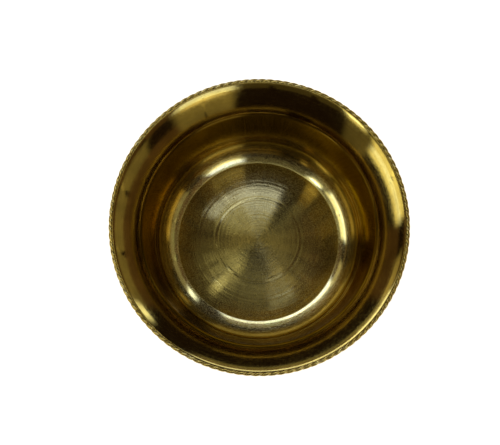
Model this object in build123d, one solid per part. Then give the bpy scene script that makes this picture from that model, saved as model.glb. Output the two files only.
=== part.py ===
from build123d import *

import os
from math import cos, radians, sin, sqrt, tan

# Offering bowl: a cup of spun brass sheet on a soldered foot, with a roped wire ring round its lip.
# Millimetres, +Z up. The origin is the middle of the foot's underside, on the surface it stands on.
# Sections are drawn as radius and height, and turned about the Z axis.

# Driving dimensions: the whole bowl
overall_diameter = 80.0
overall_height = 40.0

# Driving dimensions: the cup, measured on its inner face. A lean is an angle from the vertical.
cup_sheet = 1.1
lip_land = 0.35
lip_lean = 60.0
flare_radius = 18.0
bend_lean = 33.0
bend_radius = 5.0
wall_lean = 7.25
corner_radius = 7.5
floor_edge_outset = 2.0
floor_dome_radius = 85.0

# Driving dimensions: the two lines turned into the inside of the wall
turned_line_rise = 0.75
turned_line_spacing = 2.5
turned_line_depth = 0.25
turned_line_tool_side = 0.8

# Driving dimensions: the roped ring, round wire with a flat seat on its inner side
rope_wire_diameter = 1.3
rope_seat_width = 0.95
rope_lobes = 112
rope_notch_depth = 0.2
rope_lobe_turn = 180.0
rope_section_angles = (-90, -40, 0, 40, 90)

# Driving dimensions: the foot, of spun sheet, waisted, with a flat land to stand on
foot_sheet = 1.2
foot_height = 6.7
foot_inset = 3.0
foot_waist_drop = 0.5
foot_seat_cove_radius = 22.0
foot_spread = 5.6
foot_edge_height = 1.7
foot_edge_chamfer = 0.4
foot_land_width = 1.8

# Driving dimensions: solder
solder_film = 0.1
rim_solder_recess = 0.25
foot_solder_bead = 0.35

# Places that follow from those sizes
rope_wire_radius = rope_wire_diameter / 2
rope_centre_radius = overall_diameter / 2 - rope_wire_radius
rope_centre_height = overall_height - rope_wire_radius
rope_inner_radius = overall_diameter / 2 - rope_seat_width
rope_bottom = overall_height - rope_wire_diameter
lip_radius = rope_inner_radius - solder_film
lip_inner_radius = lip_radius - lip_land
lip_run_out = 2 * (lip_land + cup_sheet)
corner_centre_height = foot_height + cup_sheet + corner_radius


def along(lean):
    """Direction up a surface that leans outwards from the vertical by an angle in degrees."""
    return Vector(sin(radians(lean)), cos(radians(lean)))


def outward(lean):
    """Direction out of the cup, square to such a surface."""
    return Vector(cos(radians(lean)), -sin(radians(lean)))


# From the lip down, the wide flare, the bend under it, the straight wall and the round at the wall's foot
# are tangent.
lip_edge = Vector(lip_inner_radius, overall_height)
flare_centre = lip_edge + outward(lip_lean) * flare_radius
bend_top = flare_centre - outward(bend_lean) * flare_radius
bend_centre = bend_top + outward(bend_lean) * bend_radius
wall_top = bend_centre - outward(wall_lean) * bend_radius
wall_foot_height = corner_centre_height - corner_radius * sin(radians(wall_lean))
wall_foot_radius = wall_top.X - (wall_top.Y - wall_foot_height) * tan(radians(wall_lean))
wall_foot = Vector(wall_foot_radius, wall_foot_height)
corner_centre = wall_foot - outward(wall_lean) * corner_radius

# The floor is a shallow dome, pushed up from below. It meets the round in a crease, the floor's edge,
# which lies a little outside the round's middle line.
floor_edge_radius = corner_centre.X + floor_edge_outset
floor_edge_height = corner_centre.Y - sqrt(corner_radius**2 - floor_edge_outset**2)
dome_centre = Vector(0, floor_edge_height - sqrt(floor_dome_radius**2 - floor_edge_radius**2))

# The foot's waist stands inside the middle line of the round, a little below the lowest part of the cup.
foot_waist = Vector(corner_centre.X - foot_inset, foot_height - foot_waist_drop)
foot_base_radius = foot_waist.X + foot_spread


def floor_edge(depth):
    """Where the floor's dome and the round cross, a depth into the sheet from its inner face."""
    span = corner_centre - dome_centre
    dome_radius = floor_dome_radius - depth
    reach = (span.length**2 + dome_radius**2 - (corner_radius + depth) ** 2) / (2 * span.length)
    aside = sqrt(dome_radius**2 - reach**2)
    direction = span.normalized()
    return dome_centre + direction * reach + Vector(direction.Y, -direction.X) * aside


def sheet_line(depth):
    """The cup's section line, a depth into the sheet from its inner face, from past the lip to the axis."""

    def flare_point(lean):
        return flare_centre - outward(lean) * (flare_radius - depth)

    def bend_point(lean):
        return bend_centre - outward(lean) * (bend_radius - depth)

    def corner_point(direction):
        return corner_centre + direction.normalized() * (corner_radius + depth)

    def dome_point(direction):
        return dome_centre + direction.normalized() * (floor_dome_radius - depth)

    past_lip = flare_point(lip_lean) + along(lip_lean) * lip_run_out
    edge = floor_edge(depth)
    corner_middle = outward(wall_lean) + (edge - corner_centre).normalized()
    dome_middle = (edge - dome_centre).normalized() + Vector(0, 1)
    return [
        Line(past_lip, flare_point(lip_lean)),
        ThreePointArc(flare_point(lip_lean), flare_point((lip_lean + bend_lean) / 2), flare_point(bend_lean)),
        ThreePointArc(bend_point(bend_lean), bend_point((bend_lean + wall_lean) / 2), bend_point(wall_lean)),
        Line(bend_point(wall_lean), corner_point(outward(wall_lean))),
        ThreePointArc(corner_point(outward(wall_lean)), corner_point(corner_middle), edge),
        ThreePointArc(edge, dome_point(dome_middle), dome_point(Vector(0, 1))),
    ]


def region_inside(depth):
    """Everything on the inner side of the cup's section line, up to well above the lip."""
    line = sheet_line(depth)
    ceiling = overall_height * 2
    start = line[0] @ 0
    end = line[-1] @ 1
    closing = Polyline(start, (start.X, ceiling), (0, ceiling), end)
    return make_face([*line, *closing.edges()])


def block(radius_from, radius_to, height_from, height_to):
    """A rectangle in the section."""
    size = (radius_to - radius_from, height_to - height_from)
    return Pos(radius_from, height_from) * Rectangle(*size, align=(Align.MIN, Align.MIN))


def corner_square(side, lean):
    """A square with a corner pointing out of the cup, square to a surface of that lean."""
    return Rot(0, 0, 45 - lean) * Rectangle(side, side)


def cup_section():
    """The spun sheet, trimmed square at the lip, with the two turned lines in its inner face."""
    section = region_inside(cup_sheet) - region_inside(0)
    section &= block(0, lip_radius, 0, overall_height)
    tool_stand_off = turned_line_tool_side / sqrt(2) - turned_line_depth
    for rise in (turned_line_rise, turned_line_rise + turned_line_spacing):
        tool_place = wall_foot + along(wall_lean) * rise - outward(wall_lean) * tool_stand_off
        section -= Pos(tool_place.X, tool_place.Y) * corner_square(turned_line_tool_side, wall_lean)
    return section


def foot_section():
    """The foot: a cove that widens from the waist to a turned-down edge, and a gentler one up to its seat."""
    cove_end = Vector(foot_base_radius - foot_edge_chamfer, foot_edge_height)
    land_inner = foot_base_radius - foot_land_width
    lower_cove = TangentArc(foot_waist, cove_end, tangent=(0, -1))
    seat_cove_centre = foot_waist + Vector(foot_seat_cove_radius, 0)
    waist_inside = foot_waist - Vector(foot_sheet, 0)
    edge = Polyline(
        cove_end,
        (foot_base_radius, foot_edge_height - foot_edge_chamfer),
        (foot_base_radius, foot_edge_chamfer),
        (foot_base_radius - foot_edge_chamfer, 0),
        (waist_inside.X, 0),
        waist_inside,
        foot_waist,
    )
    below_waist = make_face([*lower_cove.edges(), *edge.edges()])
    hollow_round = Pos(*lower_cove.arc_center) * Circle(lower_cove.radius + foot_sheet)
    hollow = block(waist_inside.X, land_inner, 0, foot_waist.Y) - hollow_round
    above_waist = Pos(*seat_cove_centre) * (
        Circle(foot_seat_cove_radius + foot_sheet) - Circle(foot_seat_cove_radius)
    )
    above_waist &= block(waist_inside.X, foot_base_radius, foot_waist.Y, corner_centre_height)
    return below_waist - hollow + above_waist - region_inside(cup_sheet + solder_film)


def rim_solder_section():
    """Solder between the lip's edge and the roped ring, with a fillet in the angle under the lip."""
    film = block(lip_radius, rope_inner_radius, rope_bottom, overall_height - rim_solder_recess)
    under_lip = block(lip_radius - rope_wire_diameter, lip_radius, rope_bottom, rope_centre_height)
    return film + (under_lip - region_inside(cup_sheet))


def foot_solder_section(foot):
    """Solder between the foot's top edge and the underside of the cup, with a bead on each side."""
    seat = foot.vertices().sort_by(Axis.Y)[-2:]
    seat_middle = (Vector(*seat[0]) + Vector(*seat[1])) / 2
    bead_reach = foot_sheet / 2 + foot_solder_bead
    bead = Pos(seat_middle.X, seat_middle.Y) * corner_square(bead_reach * sqrt(2), 0)
    return bead - region_inside(cup_sheet) - foot


def turned(section):
    """Stands a section up and turns it into a solid of revolution."""
    return revolve(Plane.XZ * section, Axis.Z)


def rope_outline(angle):
    """The ring's lobed outline at one height, given as an angle round the wire from its outermost line."""
    pitch = 360.0 / rope_lobes
    crest_radius = rope_centre_radius + rope_wire_radius * cos(radians(angle))
    turn = pitch * angle / rope_lobe_turn
    height = rope_centre_height + rope_wire_radius * sin(radians(angle))

    def point(radius, lobe):
        bearing = radians(pitch * lobe + turn)
        return Vector(radius * cos(bearing), radius * sin(bearing), height)

    notch_radius = crest_radius - rope_notch_depth
    notches = [point(notch_radius, lobe) for lobe in range(rope_lobes + 1)]
    crests = [point(crest_radius, lobe + 0.5) for lobe in range(rope_lobes)]
    return make_face([ThreePointArc(*lobe) for lobe in zip(notches, crests, notches[1:])])


def rim_rope_ring():
    """The roped ring: lobes that slant round the wire as they climb it, and a round seat for the lip."""
    rope = loft([rope_outline(angle) for angle in rope_section_angles], ruled=True)
    seat = Pos(0, 0, rope_bottom) * Cylinder(
        rope_inner_radius, rope_wire_diameter, align=(Align.CENTER, Align.CENTER, Align.MIN)
    )
    return rope - seat


foot_face = foot_section()
nodes = {
    "bowl_body": turned(cup_section()),
    "rim_rope_ring": rim_rope_ring(),
    "rim_solder_seam": turned(rim_solder_section()),
    "foot_ring": turned(foot_face),
    "foot_solder_seam": turned(foot_solder_section(foot_face)),
}
os.makedirs("parts", exist_ok=True)
for name, shape in nodes.items():
    export_step(shape, f"parts/{name}.step")
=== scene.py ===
from math import acos, atan2, ceil, cos, degrees, pi, radians, sin, sqrt, tan

import bpy
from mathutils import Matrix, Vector


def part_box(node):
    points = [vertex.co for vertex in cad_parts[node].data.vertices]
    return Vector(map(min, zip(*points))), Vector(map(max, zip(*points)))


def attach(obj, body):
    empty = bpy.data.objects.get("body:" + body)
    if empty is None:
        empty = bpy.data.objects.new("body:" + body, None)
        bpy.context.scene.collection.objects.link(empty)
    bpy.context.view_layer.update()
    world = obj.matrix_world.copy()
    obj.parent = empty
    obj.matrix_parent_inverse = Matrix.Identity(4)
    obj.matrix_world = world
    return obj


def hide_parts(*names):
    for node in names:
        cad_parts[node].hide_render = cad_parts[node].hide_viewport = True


# Offering bowl of spun brass, seen from above. Metres, +Z up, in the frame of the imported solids.
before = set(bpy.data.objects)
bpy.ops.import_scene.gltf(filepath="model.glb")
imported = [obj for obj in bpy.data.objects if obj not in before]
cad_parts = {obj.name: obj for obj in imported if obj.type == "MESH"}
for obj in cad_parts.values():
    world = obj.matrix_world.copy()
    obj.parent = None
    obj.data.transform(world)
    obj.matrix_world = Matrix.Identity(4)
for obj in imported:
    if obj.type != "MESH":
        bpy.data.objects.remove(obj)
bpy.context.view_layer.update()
MM = 0.001
MICROMETRE = 1e-6

# Sizes read from the solids
_, cup_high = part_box("bowl_body")
rope_low, rope_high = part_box("rim_rope_ring")
_, foot_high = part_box("foot_ring")
lip_radius = cup_high.x
rim_height = cup_high.z
rope_outer_radius = rope_high.x
rope_diameter = rope_high.z - rope_low.z
foot_base_radius = foot_high.x

# Sizes of the cup's section, as in the solids. A lean is an angle from the vertical.
CUP_SHEET = 1.1 * MM
LIP_LAND = 0.35 * MM
LIP_LEAN = 60.0
FLARE_RADIUS = 18.0 * MM
BEND_LEAN = 33.0
BEND_RADIUS = 5.0 * MM
WALL_LEAN = 7.25
CORNER_RADIUS = 7.5 * MM
FLOOR_EDGE_OUTSET = 2.0 * MM
FLOOR_DOME_RADIUS = 85.0 * MM
TURNED_LINE_RISE = 0.75 * MM
TURNED_LINE_SPACING = 2.5 * MM
TURNED_LINE_DEPTH = 0.25 * MM

# Sizes of the foot's section, as in the solids
FOOT_SHEET = 1.2 * MM
FOOT_HEIGHT = 6.7 * MM
FOOT_INSET = 3.0 * MM
FOOT_WAIST_DROP = 0.5 * MM
FOOT_SEAT_COVE_RADIUS = 22.0 * MM
FOOT_EDGE_HEIGHT = 1.7 * MM
FOOT_EDGE_CHAMFER = 0.4 * MM
FOOT_LAND_WIDTH = 1.8 * MM
SOLDER_FILM = 0.1 * MM

# The roped ring, as in the solids. A lobe climbs one pitch while it goes round the wire by the lobe's turn.
ROPE_LOBES = 112
ROPE_LOBE_TURN = 180.0
ROPE_NOTCH_DEPTH = 0.2 * MM
ROPE_SEAT_WIDTH = 0.95 * MM

# Fine work that is too small for the solids: circles scribed in the floor, and edges eased by polishing
SCRIBED_RADII = (12.5 * MM, 17.6 * MM)
SCRIBED_WIDTH = 1.5 * MM
SCRIBED_DEPTHS = (0.027 * MM, 0.01 * MM)
EDGE_EASE = 0.08 * MM
LIP_EASE = 1.3 * MM
CREASE_EASE = 0.03 * MM

# How finely the meshes are drawn. A point that is nearer to the axis than ON_AXIS becomes a pole.
TURN_STEPS = 288
LOBE_COLUMNS = 12
ROPE_ROWS = 31
ON_AXIS = 0.0001 * MM


def along(lean):
    """Direction up a surface that leans outwards from the vertical by an angle in degrees."""
    return Vector((sin(radians(lean)), cos(radians(lean))))


def outward(lean):
    """Direction out of the cup, square to such a surface."""
    return Vector((cos(radians(lean)), -sin(radians(lean))))


def arc(centre, radius, start, end, steps):
    """Points on an arc in the section, between two directions given as angles in degrees from the radius."""
    angles = [start + (end - start) * i / steps for i in range(steps + 1)]
    return [centre + radius * Vector((cos(radians(a)), sin(radians(a)))) for a in angles]


def line(start, end, steps):
    """Points on a straight line in the section, with both ends."""
    return [start.lerp(end, i / steps) for i in range(steps + 1)]


def angle_of(point, centre):
    """Direction from a centre to a point in the section, as an angle in degrees from the radius."""
    return degrees(atan2(point.y - centre.y, point.x - centre.x))


# Places in the cup's section: radius and height
lip_inner_radius = lip_radius - LIP_LAND
corner_centre_height = FOOT_HEIGHT + CUP_SHEET + CORNER_RADIUS
lip_edge = Vector((lip_inner_radius, rim_height))
flare_centre = lip_edge + outward(LIP_LEAN) * FLARE_RADIUS
bend_top = flare_centre - outward(BEND_LEAN) * FLARE_RADIUS
bend_centre = bend_top + outward(BEND_LEAN) * BEND_RADIUS
wall_top = bend_centre - outward(WALL_LEAN) * BEND_RADIUS
wall_foot_height = corner_centre_height - CORNER_RADIUS * sin(radians(WALL_LEAN))
wall_foot_radius = wall_top.x - (wall_top.y - wall_foot_height) * tan(radians(WALL_LEAN))
wall_foot = Vector((wall_foot_radius, wall_foot_height))
corner_centre = wall_foot - outward(WALL_LEAN) * CORNER_RADIUS
floor_edge_radius = corner_centre.x + FLOOR_EDGE_OUTSET
floor_edge_height = corner_centre.y - sqrt(CORNER_RADIUS**2 - FLOOR_EDGE_OUTSET**2)
dome_centre = Vector((0, floor_edge_height - sqrt(FLOOR_DOME_RADIUS**2 - floor_edge_radius**2)))


def floor_edge(depth):
    """Where the floor's dome and the round of the corner cross, a depth into the sheet."""
    span = corner_centre - dome_centre
    dome_radius = FLOOR_DOME_RADIUS - depth
    reach = (span.length_squared + dome_radius**2 - (CORNER_RADIUS + depth) ** 2) / (2 * span.length)
    direction = span.normalized()
    aside = Vector((direction.y, -direction.x)) * sqrt(dome_radius**2 - reach**2)
    return dome_centre + direction * reach + aside


def turned_line(rise):
    """One line cut into the wall: its two edges and its bottom, each as a close pair of points."""
    middle = wall_foot + along(WALL_LEAN) * rise
    half_width = along(WALL_LEAN) * TURNED_LINE_DEPTH
    support = along(WALL_LEAN) * CREASE_EASE
    return [
        middle - half_width - support,
        middle - half_width,
        middle + outward(WALL_LEAN) * TURNED_LINE_DEPTH - support / 2,
        middle + outward(WALL_LEAN) * TURNED_LINE_DEPTH + support / 2,
        middle + half_width,
        middle + half_width + support,
    ]


def floor_line():
    """The floor from the axis to its edge, with the scribed circles. Each has a burr on its inner side and a
    groove on its outer side."""
    steps = 72
    cut_steps = 14
    radii = [(floor_edge_radius - CREASE_EASE) * i / steps for i in range(steps + 1)]
    cuts = [(r, 0.0) for r in radii if all(abs(r - scribed) > SCRIBED_WIDTH / 2 for scribed in SCRIBED_RADII)]
    for scribed, depth in zip(SCRIBED_RADII, SCRIBED_DEPTHS):
        for i in range(cut_steps + 1):
            share = i / cut_steps - 0.5
            cuts.append((scribed + SCRIBED_WIDTH * share, depth * sin(2 * pi * share)))
    return [
        Vector((radius, dome_centre.y + sqrt(FLOOR_DOME_RADIUS**2 - radius**2) - sink))
        for radius, sink in sorted(cuts)
    ]


def lip_round(start):
    """The lip's edge, rounded over from the flare to the flat land."""
    steps = 8
    end = Vector((lip_radius - EDGE_EASE, rim_height))
    shares = [i / steps for i in range(1, steps + 1)]
    return [start.lerp(lip_edge, share).lerp(lip_edge.lerp(end, share), share) for share in shares]


def cup_inside():
    """The cup's inner face, from the axis to the lip."""
    crease = floor_edge(0)
    corner_start = angle_of(crease, corner_centre) + degrees(CREASE_EASE / CORNER_RADIUS)
    lower = turned_line(TURNED_LINE_RISE)
    upper = turned_line(TURNED_LINE_RISE + TURNED_LINE_SPACING)
    flare_end = 180 - LIP_LEAN + degrees(LIP_EASE / FLARE_RADIUS)
    points = floor_line() + [crease]
    points += arc(corner_centre, CORNER_RADIUS, corner_start, -WALL_LEAN, steps=28)
    points += lower
    points += line(lower[-1], upper[0], steps=4)[1:-1]
    points += upper
    points += line(upper[-1], wall_top, steps=24)[1:]
    points += arc(bend_centre, BEND_RADIUS, 180 - WALL_LEAN, 180 - BEND_LEAN, steps=14)[1:]
    points += arc(flare_centre, FLARE_RADIUS, 180 - BEND_LEAN, flare_end, steps=22)[1:]
    points += lip_round(points[-1])
    return points


def line_depths(points):
    """How deep each point of the inner face lies in a turned line, from 0 to 1."""
    depths = []
    for point in points:
        on_wall = wall_foot.y < point.y < wall_top.y
        depth = (point - wall_foot).dot(outward(WALL_LEAN)) / TURNED_LINE_DEPTH
        depths.append(min(max(depth, 0.0), 1.0) if on_wall else 0.0)
    return depths


def cup_outside():
    """The cup's outer face, from the lip's edge back to the axis."""
    crease = floor_edge(CUP_SHEET)
    flare = arc(flare_centre, FLARE_RADIUS - CUP_SHEET, 180 - LIP_LEAN, 180 - BEND_LEAN, steps=18)
    bend = arc(bend_centre, BEND_RADIUS - CUP_SHEET, 180 - BEND_LEAN, 180 - WALL_LEAN, steps=10)
    corner_end = angle_of(crease, corner_centre)
    corner = arc(corner_centre, CORNER_RADIUS + CUP_SHEET, -WALL_LEAN, corner_end, steps=24)
    dome_start = angle_of(crease, dome_centre)
    dome = arc(dome_centre, FLOOR_DOME_RADIUS - CUP_SHEET, dome_start, 90, steps=30)
    edge_top = Vector((lip_radius, rim_height))
    edge_under = Vector((lip_radius, flare[0].y + (lip_radius - flare[0].x) / tan(radians(LIP_LEAN))))
    points = [
        edge_top + Vector((0, -EDGE_EASE)),
        edge_under + Vector((0, EDGE_EASE)),
        edge_under - along(LIP_LEAN) * EDGE_EASE,
    ]
    points += flare + bend[1:]
    points += line(bend[-1], corner[0], steps=10)[1:-1]
    points += corner + dome[1:]
    return points


def mesh_object(name, vertices, faces):
    """A smooth mesh, linked to the scene."""
    mesh = bpy.data.meshes.new(name)
    mesh.from_pydata(vertices, [], faces)
    mesh.shade_smooth()
    mesh.update()
    piece = bpy.data.objects.new(name, mesh)
    bpy.context.scene.collection.objects.link(piece)
    return piece


def keep_values(piece, name, values):
    """Stores a number for each point of a mesh, for its material to read."""
    piece.data.attributes.new(name, "FLOAT", "POINT").data.foreach_set("value", values)


def lathe(name, profile, closed, cuts=None):
    """Turns a section into a mesh. Points at the axis become poles; a closed section joins up with itself.
    Each point can keep how deep in a turned line it lies, from 0 to 1."""
    vertices = []
    rings = []
    for point in profile:
        if point.x < ON_AXIS:
            rings.append([len(vertices)])
            vertices.append((0, 0, point.y))
        else:
            rings.append(list(range(len(vertices), len(vertices) + TURN_STEPS)))
            for step in range(TURN_STEPS):
                angle = 2 * pi * step / TURN_STEPS
                vertices.append((point.x * cos(angle), point.x * sin(angle), point.y))
    faces = []
    pairs = list(zip(rings, rings[1:])) + ([(rings[-1], rings[0])] if closed else [])
    for low, high in pairs:
        for step in range(TURN_STEPS):
            after = (step + 1) % TURN_STEPS
            if len(low) == 1:
                faces.append((low[0], high[step], high[after]))
            elif len(high) == 1:
                faces.append((low[step], high[0], low[after]))
            else:
                faces.append((low[step], high[step], high[after], low[after]))
    piece = mesh_object(name, vertices, faces)
    if cuts:
        keep_values(piece, "cut", [value for ring, value in zip(rings, cuts) for _ in ring])
    return piece


def foot_section():
    """The foot's section, once round, starting at its seat under the cup."""
    waist = Vector((corner_centre.x - FOOT_INSET, FOOT_HEIGHT - FOOT_WAIST_DROP))
    cove_end = Vector((foot_base_radius - FOOT_EDGE_CHAMFER, FOOT_EDGE_HEIGHT))
    reach = cove_end - waist
    cove_radius = reach.length_squared / (2 * reach.x)
    cove_centre = waist + Vector((cove_radius, 0))
    land_inner = foot_base_radius - FOOT_LAND_WIDTH
    hollow_radius = cove_radius + FOOT_SHEET
    hollow_drop = sqrt(hollow_radius**2 - (land_inner - cove_centre.x) ** 2)
    hollow_end = Vector((land_inner, cove_centre.y - hollow_drop))
    seat_centre = waist + Vector((FOOT_SEAT_COVE_RADIUS, 0))
    seat_inner_radius = FOOT_SEAT_COVE_RADIUS + FOOT_SHEET
    underside_radius = FLOOR_DOME_RADIUS - CUP_SHEET - SOLDER_FILM

    def seat_rise(radius, highest=20.0, halvings=40):
        """Angle up the cove at which it meets the solder under the floor, found by halving a range."""
        low, high = 0.0, highest
        for _ in range(halvings):
            middle = (low + high) / 2
            point = seat_centre + radius * Vector((-cos(radians(middle)), sin(radians(middle))))
            if (point - dome_centre).length < underside_radius:
                low = middle
            else:
                high = middle
        return low

    points = arc(seat_centre, FOOT_SEAT_COVE_RADIUS, 180 - seat_rise(FOOT_SEAT_COVE_RADIUS), 180, steps=6)
    points += arc(cove_centre, cove_radius, 180, angle_of(cove_end, cove_centre) % 360, steps=24)[1:]
    points += [
        Vector((foot_base_radius, FOOT_EDGE_HEIGHT - FOOT_EDGE_CHAMFER)),
        Vector((foot_base_radius, FOOT_EDGE_CHAMFER)),
        Vector((foot_base_radius - FOOT_EDGE_CHAMFER, 0)),
        Vector((land_inner, 0)),
    ]
    points += arc(cove_centre, hollow_radius, angle_of(hollow_end, cove_centre) % 360, 180, steps=20)
    points += arc(seat_centre, seat_inner_radius, 180, 180 - seat_rise(seat_inner_radius), steps=6)[1:]
    return points


def roped_ring(name):
    """The roped ring: lobes that slant round the wire as they climb it, and a flat seat on the inner side.
    Each point keeps how deep in a notch it lies, from 0 to 1."""
    wire_radius = rope_diameter / 2
    middle_radius = rope_outer_radius - wire_radius
    middle_height = rim_height - wire_radius
    seat_radius = rope_outer_radius - ROPE_SEAT_WIDTH
    seat_angle = degrees(acos((wire_radius - ROPE_SEAT_WIDTH) / wire_radius))
    columns = ROPE_LOBES * LOBE_COLUMNS
    vertices, faces, depths = [], [], []
    for column in range(columns):
        bearing = 2 * pi * column / columns
        for row in range(ROPE_ROWS):
            angle = seat_angle * (2 * row / (ROPE_ROWS - 1) - 1)
            phase = (column / LOBE_COLUMNS - angle / ROPE_LOBE_TURN) % 1.0
            depth = (2 * phase - 1) ** 2
            reach = wire_radius - ROPE_NOTCH_DEPTH * depth
            radius = max(middle_radius + reach * cos(radians(angle)), seat_radius)
            height = middle_height + reach * sin(radians(angle))
            vertices.append((radius * cos(bearing), radius * sin(bearing), height))
            depths.append(depth)
    for column in range(columns):
        after = (column + 1) % columns
        for row in range(ROPE_ROWS):
            up = (row + 1) % ROPE_ROWS
            corners = ((column, row), (after, row), (after, up), (column, up))
            faces.append([c * ROPE_ROWS + r for c, r in corners])
    piece = mesh_object(name, vertices, faces)
    keep_values(piece, "notch", depths)
    return piece


# Sockets of a mix node, by number: the share, two numbers or two colours, and the colour that comes out
MIX_SHARE = 0
MIX_NUMBERS = (2, 3)
MIX_COLOURS = (6, 7)
MIXED_COLOUR = 2

# Noise: how rough it is, and how much closer turning marks lie up the section than outwards
NOISE_ROUGHNESS = 0.6
MARK_DETAIL = 2.0
MARK_CLIMB = 1.3


def add(tree, kind, inputs=None, **settings):
    """Adds a shader node. An input's value is a number, a colour or another node's output socket."""
    node = tree.nodes.new(kind)
    for name, value in settings.items():
        setattr(node, name, value)
    for name, value in (inputs or {}).items():
        if isinstance(value, bpy.types.NodeSocket):
            tree.links.new(value, node.inputs[name])
        else:
            node.inputs[name].default_value = value
    return node


def sums(tree, operation, *values):
    """The output of a maths node."""
    return add(tree, "ShaderNodeMath", dict(enumerate(values)), operation=operation).outputs[0]


def ramp(tree, value, source, result):
    """A value that goes smoothly between two result numbers while its source goes between two numbers."""
    inputs = {"Value": value}
    inputs["From Min"], inputs["From Max"] = source
    inputs["To Min"], inputs["To Max"] = result
    return add(tree, "ShaderNodeMapRange", inputs, interpolation_type="SMOOTHSTEP").outputs["Result"]


def near(base, offsets):
    """The two ends of a fade, as offsets from a base radius or height."""
    return [base + offset for offset in offsets]


def mix(tree, share, *numbers):
    """A number between two numbers."""
    inputs = {MIX_SHARE: share, **dict(zip(MIX_NUMBERS, numbers))}
    return add(tree, "ShaderNodeMix", inputs, data_type="FLOAT").outputs[0]


def blend(tree, share, *colours):
    """A colour between two colours."""
    inputs = {MIX_SHARE: share}
    for socket, colour in zip(MIX_COLOURS, colours):
        inputs[socket] = colour if isinstance(colour, bpy.types.NodeSocket) else (*colour, 1)
    return add(tree, "ShaderNodeMix", inputs, data_type="RGBA").outputs[MIXED_COLOUR]


def place(tree):
    """Where a point is: position, distance from the axis, height, and direction round the axis."""
    position = add(tree, "ShaderNodeTexCoord").outputs["Object"]
    parts = add(tree, "ShaderNodeSeparateXYZ", {0: position})
    flat = add(tree, "ShaderNodeCombineXYZ", {"X": parts.outputs["X"], "Y": parts.outputs["Y"]}).outputs[0]
    radius = add(tree, "ShaderNodeVectorMath", {0: flat}, operation="LENGTH").outputs["Value"]
    around = add(tree, "ShaderNodeVectorMath", {0: flat}, operation="NORMALIZE").outputs["Vector"]
    return position, radius, parts.outputs["Z"], around


def speckle(tree, position, size, detail):
    """Even noise with spots of about a size."""
    inputs = {"Vector": position, "Scale": 1 / size, "Detail": detail, "Roughness": NOISE_ROUGHNESS}
    return add(tree, "ShaderNodeTexNoise", inputs).outputs["Fac"]


def turning_marks(tree, radius, height, around, pitch, breaks):
    """Noise like the marks of tool and polish: fine up the section, and drawn out round the axis."""
    track = sums(tree, "MULTIPLY_ADD", height, MARK_CLIMB, radius)
    across = add(tree, "ShaderNodeCombineXYZ", {"Z": sums(tree, "DIVIDE", track, pitch)}).outputs[0]
    inputs = {0: around, 1: (breaks, breaks, 0), 2: across}
    vector = add(tree, "ShaderNodeVectorMath", inputs, operation="MULTIPLY_ADD").outputs[0]
    return speckle(tree, vector, size=1.0, detail=MARK_DETAIL)


# Colours of the metal. It takes the glancing tint where it is seen at a low angle.
POLISHED_BRASS = (0.62, 0.45, 0.135)
# Painted shade: a darker brass for the upper wall, to darken what the wall mirrors
PAINTED_SHADE_WALL_BRASS = (0.31, 0.21, 0.065)
LOW_WALL_BRASS = (0.62, 0.45, 0.14)
SATIN_BRASS = (0.46, 0.37, 0.16)
# Pale bright brass: buffed patches on the rope, and on the cup a painted highlight low in the corner and
# partly a painted glint in the turned lines
BUFFED_AND_HIGHLIGHT_BRASS = (0.98, 0.84, 0.45)
# Dark tarnish: real on the foot and the solder; on the rope partly tarnish and partly painted shade in the
# notches, and painted shade low on its side
TARNISH_AND_SHADE = (0.09, 0.055, 0.018)
DULL_SOLDER = (0.2, 0.14, 0.06)
GLANCING_TINT = (0.4, 0.3, 0.2)

# How strongly the turned pieces are brushed, and the part of a turn that lays the brushing round the axis
BRUSHING = 0.95
BRUSHING_TURN = 0.25

# Where finishes fade into each other, and where painted shade on the upper wall and low on the rope and a
# painted highlight in the corner fade in: offsets from the floor's edge, the wall's foot or the rim
SATIN_FADE = (-0.3 * MM, 0.3 * MM)
CORNER_HIGHLIGHT_FADE = (-5.6 * MM, -4 * MM)
BRUSHED_FADE = (-3.5 * MM, -1.5 * MM)
WALL_SHADE_FADE = (3 * MM, 10 * MM)
LIP_FADE = (-8 * MM, -2 * MM)
ROPE_SHADE_FADE = (-0.9 * rope_diameter, -0.2 * rope_diameter)

# Depths of fine relief, in micrometres
GROOVE_DEPTH = 48.0
TOOL_MARK_DEPTH = 1.2
LIP_PIT_DEPTH = 2.5
WAVE_DEPTH = 25.0
FOOT_MARK_DEPTH = 3.0
ROPE_PIT_DEPTH = 12.0
SOLDER_PIT_DEPTH = 30.0


def metal(name):
    """A metal that reflects less at a glancing angle."""
    material = bpy.data.materials.new(name)
    material.use_nodes = True
    tree = material.node_tree
    shader = tree.nodes["Principled BSDF"]
    shader.inputs["Metallic"].default_value = 1.0
    shader.inputs["Specular Tint"].default_value = (*GLANCING_TINT, 1)
    return material, tree, shader


def brush_round_axis(tree, shader):
    """Stretches the highlights as brushing round the axis does."""
    shader.inputs["Anisotropic"].default_value = BRUSHING
    shader.inputs["Anisotropic Rotation"].default_value = BRUSHING_TURN
    tangent = add(tree, "ShaderNodeTangent", direction_type="RADIAL", axis="Z").outputs[0]
    tree.links.new(tangent, shader.inputs["Tangent"])


def relief(tree, shader, height):
    """Surface relief from a height in micrometres."""
    bump = add(tree, "ShaderNodeBump", {"Height": height, "Distance": MICROMETRE, "Strength": 1.0})
    tree.links.new(bump.outputs["Normal"], shader.inputs["Normal"])


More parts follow.
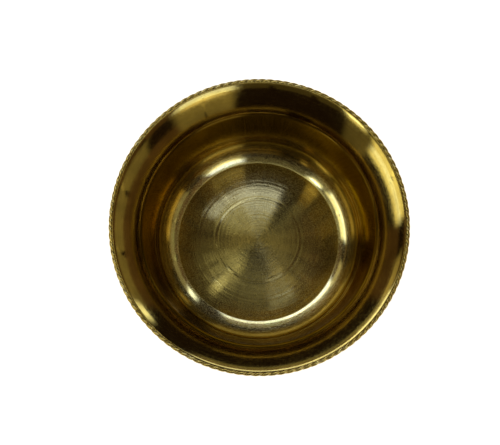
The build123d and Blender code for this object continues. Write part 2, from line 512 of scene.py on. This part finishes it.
def spun_brass(name):
    """Polished brass on the wall and lip, with a satin finish left by the tool on the floor. The upper wall
    takes a darker brass, a painted shade; the lower part of the corner's round takes a paler, brighter brass,
    a painted highlight; the turned lines go to that bright brass too, partly fresh-cut metal and partly a
    painted glint."""
    material, tree, shader = metal(name)
    position, radius, height, around = place(tree)
    satin = ramp(tree, radius, near(floor_edge_radius, SATIN_FADE), (1, 0))
    # Painted highlight: the lower part of the corner's round takes the paler, brighter brass
    buffed_and_highlight = ramp(tree, height, near(wall_foot.y, CORNER_HIGHLIGHT_FADE), (1, 0))
    brushed = ramp(tree, height, near(wall_foot.y, BRUSHED_FADE), (1, 0))
    # Painted shade: the cup from a little above the wall's foot up towards the lip takes the darker brass
    painted_wall_shade = ramp(tree, height, near(wall_foot.y, WALL_SHADE_FADE), (0, 1))
    lip = ramp(tree, height, near(rim_height, LIP_FADE), (0, 1))
    tool = turning_marks(tree, radius, height, around, pitch=0.6 * MM, breaks=1.6)
    groove = turning_marks(tree, radius, height, around, pitch=0.5 * MM, breaks=0.9)
    scratch = turning_marks(tree, radius, height, around, pitch=0.3 * MM, breaks=5.0)
    cloud = speckle(tree, position, size=9 * MM, detail=3.0)
    pits = speckle(tree, position, size=0.7 * MM, detail=2.0)
    grain = speckle(tree, position, size=0.15 * MM, detail=1.0)
    cut = add(tree, "ShaderNodeAttribute", attribute_name="cut").outputs["Fac"]

    wall = blend(tree, lip, blend(tree, painted_wall_shade, LOW_WALL_BRASS, PAINTED_SHADE_WALL_BRASS), POLISHED_BRASS)
    colour = blend(tree, satin, blend(tree, buffed_and_highlight, wall, BUFFED_AND_HIGHLIGHT_BRASS), SATIN_BRASS)
    cloud_shade = ramp(tree, cloud, (0.3, 0.7), (0.82, 1.12))
    tool_shade = ramp(tree, tool, (0.3, 0.7), (0.93, 1.06))
    shade = sums(tree, "MULTIPLY", cloud_shade, tool_shade)
    shaded = add(tree, "ShaderNodeVectorMath", {0: colour, "Scale": shade}, operation="SCALE").outputs[0]
    # The turned lines go to the bright brass: partly fresh-cut metal, partly a painted glint
    fresh_cut_and_glint = ramp(tree, cut, (0.2, 0.8), (0, 1))
    tree.links.new(blend(tree, fresh_cut_and_glint, shaded, BUFFED_AND_HIGHLIGHT_BRASS), shader.inputs["Base Color"])

    pitted = ramp(tree, pits, (0.35, 0.7), (0, 0.05))
    scratched = ramp(tree, scratch, (0.4, 0.8), (0.07, 0.13))
    polished = sums(tree, "MULTIPLY_ADD", lip, pitted, scratched)
    rubbed = ramp(tree, grain, (0.53, 0.61), (0.09, 0.38))
    turned = ramp(tree, grain, (0.5, 0.58), (0.1, 0.36))
    roughness = mix(tree, satin, mix(tree, brushed, polished, rubbed), turned)
    tree.links.new(roughness, shader.inputs["Roughness"])
    brush_round_axis(tree, shader)

    groove_depth = ramp(tree, satin, (0, 1), (0, GROOVE_DEPTH))
    pit_depth = ramp(tree, lip, (0, 1), (0, LIP_PIT_DEPTH))
    marks = sums(tree, "MULTIPLY", tool, TOOL_MARK_DEPTH)
    marks = sums(tree, "MULTIPLY_ADD", groove, groove_depth, marks)
    marks = sums(tree, "MULTIPLY_ADD", pits, pit_depth, marks)
    relief(tree, shader, sums(tree, "MULTIPLY_ADD", cloud, WAVE_DEPTH, marks))
    return material


def foot_brass(name):
    """Brass with turning marks, tarnished in streaky patches."""
    material, tree, shader = metal(name)
    position, radius, height, around = place(tree)
    tool = turning_marks(tree, radius, height, around, pitch=0.5 * MM, breaks=2.0)
    cloud = speckle(tree, position, size=6 * MM, detail=3.0)
    patches = ramp(tree, cloud, (0.35, 0.75), (0, 0.35))
    streaks = ramp(tree, tool, (0.3, 0.6), (0.5, 1))
    tarnish_and_shade_share = sums(tree, "MULTIPLY", patches, streaks)
    tree.links.new(blend(tree, tarnish_and_shade_share, POLISHED_BRASS, TARNISH_AND_SHADE), shader.inputs["Base Color"])
    roughness = ramp(tree, tool, (0.3, 0.7), (0.13, 0.24))
    tree.links.new(roughness, shader.inputs["Roughness"])
    brush_round_axis(tree, shader)
    marks = sums(tree, "MULTIPLY", tool, FOOT_MARK_DEPTH)
    relief(tree, shader, sums(tree, "MULTIPLY_ADD", cloud, WAVE_DEPTH, marks))
    return material


def roped_brass(name):
    """Brass, rubbed smoother on the crests of the lobes and buffed bright in random patches; darker in the
    notches, partly tarnish and partly painted shade, and darker low on its side, a painted shade.
    """
    material, tree, shader = metal(name)
    position, _, height, _ = place(tree)
    notch = add(tree, "ShaderNodeAttribute", attribute_name="notch").outputs["Fac"]
    pits = speckle(tree, position, size=0.5 * MM, detail=3.0)
    cloud = speckle(tree, position, size=5 * MM, detail=2.0)
    uneven = sums(tree, "ADD", notch, ramp(tree, pits, (0.3, 0.7), (-0.25, 0.25)))
    # Painted shade: the wire darkens low on its side; the notches darken too, partly tarnish and partly
    # painted shade
    shade_below = ramp(tree, height, near(rim_height, ROPE_SHADE_FADE), (0.7, 0))
    tarnish_and_shade_share = ramp(tree, sums(tree, "ADD", uneven, shade_below), (0.4, 1.1), (0, 0.85))
    buffed_and_highlight = ramp(tree, cloud, (0.5, 0.8), (0, 1))
    bright = blend(tree, buffed_and_highlight, POLISHED_BRASS, BUFFED_AND_HIGHLIGHT_BRASS)
    tree.links.new(blend(tree, tarnish_and_shade_share, bright, TARNISH_AND_SHADE), shader.inputs["Base Color"])
    roughness = ramp(tree, uneven, (0, 1), (0.2, 0.5))
    tree.links.new(roughness, shader.inputs["Roughness"])
    relief(tree, shader, sums(tree, "MULTIPLY", pits, ROPE_PIT_DEPTH))
    return material


def solder_metal(name):
    """Dull solder, blotched and pitted where it cooled."""
    material, tree, shader = metal(name)
    position = place(tree)[0]
    pits = speckle(tree, position, size=0.4 * MM, detail=3.0)
    cloud = speckle(tree, position, size=2.5 * MM, detail=3.0)
    blotches = ramp(tree, cloud, (0.35, 0.65), (0, 1))
    tree.links.new(blend(tree, blotches, DULL_SOLDER, TARNISH_AND_SHADE), shader.inputs["Base Color"])
    roughness = ramp(tree, pits, (0.3, 0.7), (0.35, 0.6))
    tree.links.new(roughness, shader.inputs["Roughness"])
    relief(tree, shader, sums(tree, "MULTIPLY", pits, SOLDER_PIT_DEPTH))
    return material


def install(piece, look, node):
    """Gives a piece its material, and sets it in the place of its solid."""
    piece.data.materials.append(look)
    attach(piece, "root")
    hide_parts(node)


inside = cup_inside()
outside = cup_outside()
bowl = lathe("bowl", inside + outside, closed=False, cuts=line_depths(inside) + [0.0] * len(outside))
install(bowl, spun_brass("spun_brass_look"), "bowl_body")
foot = lathe("foot", foot_section(), closed=True)
install(foot, foot_brass("foot_brass_look"), "foot_ring")
rope = roped_ring("rope_edge")
install(rope, roped_brass("roped_brass_look"), "rim_rope_ring")

# The solder seams stay as they are in the solids, with a look of their own.
solder = solder_metal("solder_look")
for node in ("rim_solder_seam", "foot_solder_seam"):
    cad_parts[node].data.materials.clear()
    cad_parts[node].data.materials.append(solder)

# Stage
WHITE = (1, 1, 1)
FLOOR_REACH = 4.0
FLOOR_COLOUR = (0.85, 0.85, 0.85)
FLOOR_ROUGHNESS = 0.8
FLOOR_GLOW = 0.92
ROOM_TINT = (1, 0.6, 0.35)
ROOM_DIM = 0.012
ROOM_PALE = 0.9


def stage_floor():
    """A pale floor that glows, because the soft lights are too dim to make it white."""
    corners = [(x * FLOOR_REACH, y * FLOOR_REACH, 0) for x, y in ((-1, -1), (1, -1), (1, 1), (-1, 1))]
    floor = mesh_object("floor", corners, [(0, 1, 2, 3)])
    look = bpy.data.materials.new("pale_floor")
    look.use_nodes = True
    shader = look.node_tree.nodes["Principled BSDF"]
    shader.inputs["Base Color"].default_value = (*FLOOR_COLOUR, 1)
    shader.inputs["Roughness"].default_value = FLOOR_ROUGHNESS
    shader.inputs["Emission Color"].default_value = (*WHITE, 1)
    shader.inputs["Emission Strength"].default_value = FLOOR_GLOW
    floor.data.materials.append(look)


def room():
    """A room that is dim and warm where the bowl mirrors it, and pale where the camera sees it."""
    world = bpy.data.worlds.new("room")
    bpy.context.scene.world = world
    world.use_nodes = True
    tree = world.node_tree
    background = tree.nodes["Background"]
    seen = add(tree, "ShaderNodeLightPath").outputs["Is Camera Ray"]
    tree.links.new(blend(tree, seen, ROOM_TINT, WHITE), background.inputs["Color"])
    tree.links.new(ramp(tree, seen, (0, 1), (ROOM_DIM, ROOM_PALE)), background.inputs["Strength"])


stage_floor()
room()

# Soft lights. The widest span of one light card, and what a light's side takes to fade, are in degrees.
LIGHT_DISTANCE = 0.9
CARD_SPAN = 30.0
SOFT_SIDE = 6.0
bowl_middle = Vector((0, 0, rim_height))


def fade_sides(tree, share, first, last):
    """Fades a light card over a share of its width, at its outer side if it is the first or the last."""
    parametric = add(tree, "ShaderNodeNewGeometry").outputs["Parametric"]
    across = add(tree, "ShaderNodeSeparateXYZ", {0: parametric}).outputs["X"]
    at_start = ramp(tree, across, (1 - share, 1), (1, 0 if first else 1))
    at_end = ramp(tree, across, (0, share), (0 if last else 1, 1))
    tree.links.new(sums(tree, "MULTIPLY", at_start, at_end), tree.nodes["Emission"].inputs["Strength"])


def soft_light(name, bearings, elevations, radiance, tint, soft_side=SOFT_SIDE):
    """A soft light seen from the bowl between two bearings and two elevations, in degrees. Bearings run
    clockwise from +X as seen from above. A wide light is several cards side by side. Its two outer sides
    reach past the bearings by half of what they take to fade, so that neighbours run into each other."""
    start = bearings[0] - soft_side / 2
    span = bearings[1] + soft_side / 2 - start
    cards = ceil(span / CARD_SPAN)
    low, high = elevations
    elevation = radians((low + high) / 2)
    for card in range(cards):
        bearing = radians(start + span * (card + 0.5) / cards)
        direction = Vector((cos(bearing) * cos(elevation), -sin(bearing) * cos(elevation), sin(elevation)))
        data = bpy.data.lights.new(f"{name}_{card}", "AREA")
        data.shape = "RECTANGLE"
        data.size = 2 * LIGHT_DISTANCE * tan(radians(span / cards / 2)) * cos(elevation)
        data.size_y = 2 * LIGHT_DISTANCE * tan(radians((high - low) / 2))
        data.energy = radiance * pi * data.size * data.size_y
        data.color = tint
        data.use_nodes = True
        fade_sides(data.node_tree, soft_side * cards / span, first=card == 0, last=card == cards - 1)
        lamp = bpy.data.objects.new(data.name, data)
        lamp.location = bowl_middle + direction * LIGHT_DISTANCE
        lamp.rotation_euler = direction.to_track_quat("Z", "Y").to_euler()
        lamp.visible_camera = False
        bpy.context.scene.collection.objects.link(lamp)


DAYLIGHT = (1, 1.13, 1.1)
SKY = (1, 1.18, 1.6)
PALE = (1, 1.0, 0.6)
AMBER = (1, 0.9, 0.43)
WOOD = (1, 0.6, 0.25)

# Bearings of the lights, once round the bowl from the near right side
NEAR_RIGHT = (44, 76)
NEAR = (76, 138)
NEAR_LEFT_LAMP = (138, 150)
NEAR_LEFT = (138, 155)
LEFT = (155, 191)
LEFT_CORNER = (191, 222)
FAR = (222, 290)
FAR_FIRST = (222, 256)
FAR_SECOND = (256, 290)
RIGHT_LAMP = (309, 316)
RIGHT = (314, 385)
WHOLE_RIGHT = (314, 404)
RIGHT_CORNER = (385, 404)

# The lights, placed and tinted by what the bowl mirrors: bearings, elevations, radiance and tint
soft_light("window_near_foot", NEAR_RIGHT, (0, 36), 0.22, AMBER)
soft_light("window_near_sill", (48, 72), (36, 44), 1.2, AMBER, soft_side=20)
soft_light("window_near", NEAR_RIGHT, (44, 52), 1.6, DAYLIGHT, soft_side=10)
soft_light("window_near_top", NEAR_RIGHT, (52, 60), 1.3, SKY)
soft_light("window_near_wall", NEAR_RIGHT, (60, 67), 0.44, DAYLIGHT)
soft_light("window_near_ceiling", NEAR_RIGHT, (67, 78), 0.32, AMBER)
soft_light("wall_near", NEAR, (44, 67), 0.05, AMBER)
soft_light("wall_near_ceiling", NEAR, (67, 82), 0.22, PALE)
soft_light("lamp_left_foot", NEAR_LEFT, (0, 44), 0.12, AMBER)
soft_light("lamp_left_shade", NEAR_LEFT_LAMP, (44, 52), 1.0, PALE)
soft_light("lamp_left", NEAR_LEFT_LAMP, (52, 60), 3.0, DAYLIGHT)
soft_light("lamp_left_wall", NEAR_LEFT_LAMP, (60, 67), 1.0, PALE)
soft_light("lamp_left_ceiling", NEAR_LEFT, (67, 82), 0.85, PALE)
soft_light("window_left_sill", LEFT, (21, 28), 1.3, PALE)
soft_light("window_left", LEFT, (28, 36), 1.6, DAYLIGHT)
soft_light("window_left_top", LEFT, (36, 52), 1.3, PALE)
soft_light("window_left_wall", LEFT, (52, 67), 0.1, AMBER)
soft_light("window_left_ceiling", LEFT, (67, 82), 0.56, PALE)
soft_light("corner_left_foot", LEFT_CORNER, (0, 28), 0.06, WOOD)
soft_light("corner_left", (206, 222), (28, 44), 0.44, AMBER)
soft_light("corner_left_wall", LEFT_CORNER, (44, 60), 0.06, WOOD)
soft_light("corner_left_ceiling", LEFT_CORNER, (60, 82), 0.11, AMBER)
soft_light("window_far_sill", FAR, (28, 36), 0.2, PALE)
soft_light("window_far_foot", FAR, (36, 44), 0.15, WOOD)
soft_light("window_far_low", (222, 238), (38, 44), 0.9, DAYLIGHT)
soft_light("window_far", FAR_FIRST, (44, 52), 2.3, DAYLIGHT)
soft_light("window_back", FAR_SECOND, (44, 52), 1.3, DAYLIGHT)
soft_light("window_far_top", FAR, (52, 60), 1.2, SKY)
soft_light("window_far_wall", FAR_FIRST, (60, 67), 0.38, PALE)
soft_light("window_back_wall", FAR_SECOND, (60, 67), 0.9, SKY)
soft_light("window_far_ceiling", FAR, (67, 74), 0.78, PALE)
soft_light("ceiling_far", FAR, (74, 82), 0.36, AMBER)
soft_light("lamp_right", RIGHT_LAMP, (26, 46), 1.6, DAYLIGHT)
soft_light("lamp_right_wall", (304, 314), (46, 82), 0.16, PALE)
soft_light("wall_right_foot", WHOLE_RIGHT, (0, 20), 0.08, WOOD)
soft_light("wall_right", RIGHT, (20, 44), 0.2, AMBER)
soft_light("wall_right_top", WHOLE_RIGHT, (44, 67), 0.065, WOOD)
soft_light("wall_right_ceiling", RIGHT, (67, 82), 0.2, AMBER)
soft_light("corner_right_ceiling", RIGHT_CORNER, (67, 82), 0.43, AMBER)

# Camera at the photo's angle. Its tilt and its side are angles from straight above the rim's centre, and its
# aim is off that centre. The focal length is in pixels of the photo.
PHOTO_WIDTH = 500
FOCAL_PIXELS = 867.3
SENSOR_WIDTH = 36.0
CLIP_START = 10 * MM
CAMERA_DISTANCE = 230 * MM
CAMERA_TILT = 9.8
CAMERA_SIDE = -0.62
AIM_RIGHT = -2.465 * MM
AIM_UP = 0.195 * MM
GLOSSY_BOUNCES = 10


def photo_camera():
    """The camera that looks down into the bowl."""
    rim_centre = Vector((0, 0, rim_height - rope_diameter / 2))
    towards_camera = Vector((tan(radians(CAMERA_SIDE)), -tan(radians(CAMERA_TILT)), 1)).normalized()
    view_right = Vector((0, 1, 0)).cross(towards_camera).normalized()
    view_up = towards_camera.cross(view_right)
    aim = rim_centre + view_right * AIM_RIGHT + view_up * AIM_UP
    data = bpy.data.cameras.new("camera")
    data.sensor_width = SENSOR_WIDTH
    data.lens = SENSOR_WIDTH * FOCAL_PIXELS / PHOTO_WIDTH
    data.clip_start = CLIP_START
    camera = bpy.data.objects.new("camera", data)
    camera.location = rim_centre + towards_camera * CAMERA_DISTANCE
    camera.rotation_euler = (camera.location - aim).to_track_quat("Z", "Y").to_euler()
    bpy.context.scene.collection.objects.link(camera)
    bpy.context.scene.camera = camera


photo_camera()
bpy.context.scene.view_settings.view_transform = "Standard"
bpy.context.scene.cycles.glossy_bounces = GLOSSY_BOUNCES
